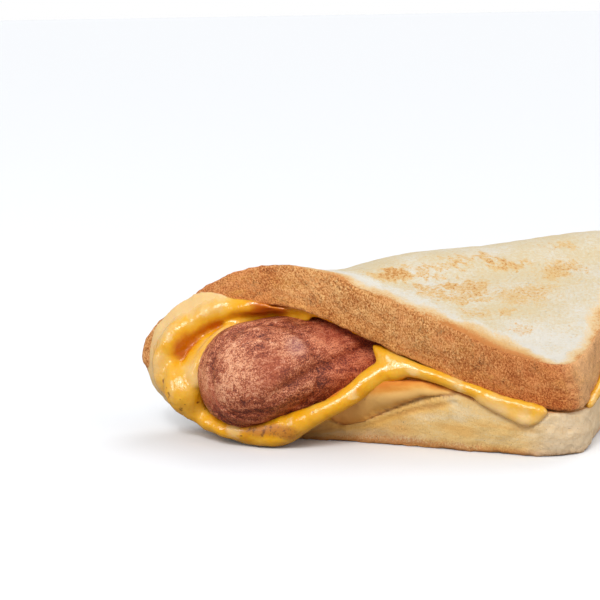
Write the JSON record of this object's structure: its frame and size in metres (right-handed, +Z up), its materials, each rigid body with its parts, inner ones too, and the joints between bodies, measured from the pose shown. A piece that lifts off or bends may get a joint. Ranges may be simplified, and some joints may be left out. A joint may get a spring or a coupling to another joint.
{
  "type": "hot dog",
  "caption": "Hot dog in toast bread: a square slice of soft white bread folded corner to corner round a thick sausage, with melted cheese lining the fold.",
  "frame": {"origin": "on the table, under the middle of the sandwich's bounding box", "axes": "+X along the sausage and the fold, +Y towards the closed back of the fold, -Y towards the loose corners at the front, +Z up"},
  "size_m": [0.1654, 0.0776, 0.0476],
  "materials": {
    "bread": "matt soft crumb, browned crust",
    "sausage": "fine grained cooked skin with a slight sheen",
    "cheese": "glossy, melted"
  },
  "bodies": {
    "root": {"bread": "bread", "sausage": "sausage", "cheese": "cheese"}
  },
  "joints": []
}
